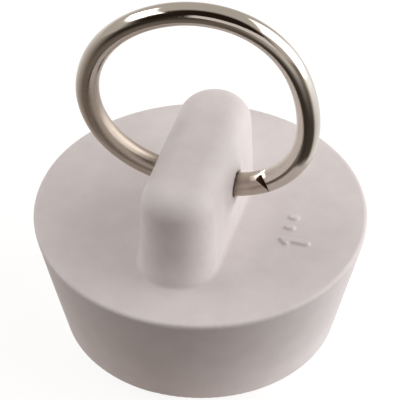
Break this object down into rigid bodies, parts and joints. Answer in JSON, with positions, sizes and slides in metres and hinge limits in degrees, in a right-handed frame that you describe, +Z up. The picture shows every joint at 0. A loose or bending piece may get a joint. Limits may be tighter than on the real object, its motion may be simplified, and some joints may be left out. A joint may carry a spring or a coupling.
{
  "type": "drain stopper",
  "caption": "Tapered rubber drain stopper with a moulded lug on its top face and a swinging nickel-plated wire pull ring through the lug.",
  "frame": {"origin": "middle of the flat underside", "axes": "+Z up out of the drain, +Y along the lug, +X along the lug's bore towards the raised size mark"},
  "size_m": [0.0286, 0.0286, 0.0357],
  "materials": {
    "rubber": "satin moulded pale grey rubber",
    "nickel": "bright nickel plate on steel wire"
  },
  "bodies": {
    "stopper": {"rubber_stopper": "rubber"},
    "ring": {"pull_ring": "nickel"}
  },
  "joints": [
    {"name": "ring_swing", "type": "hinge", "parent": "stopper", "child": "ring", "pos_m": [0, -0.00115, 0.016], "axis": [1, 0, 0], "range_deg": [-105, 107]}
  ]
}
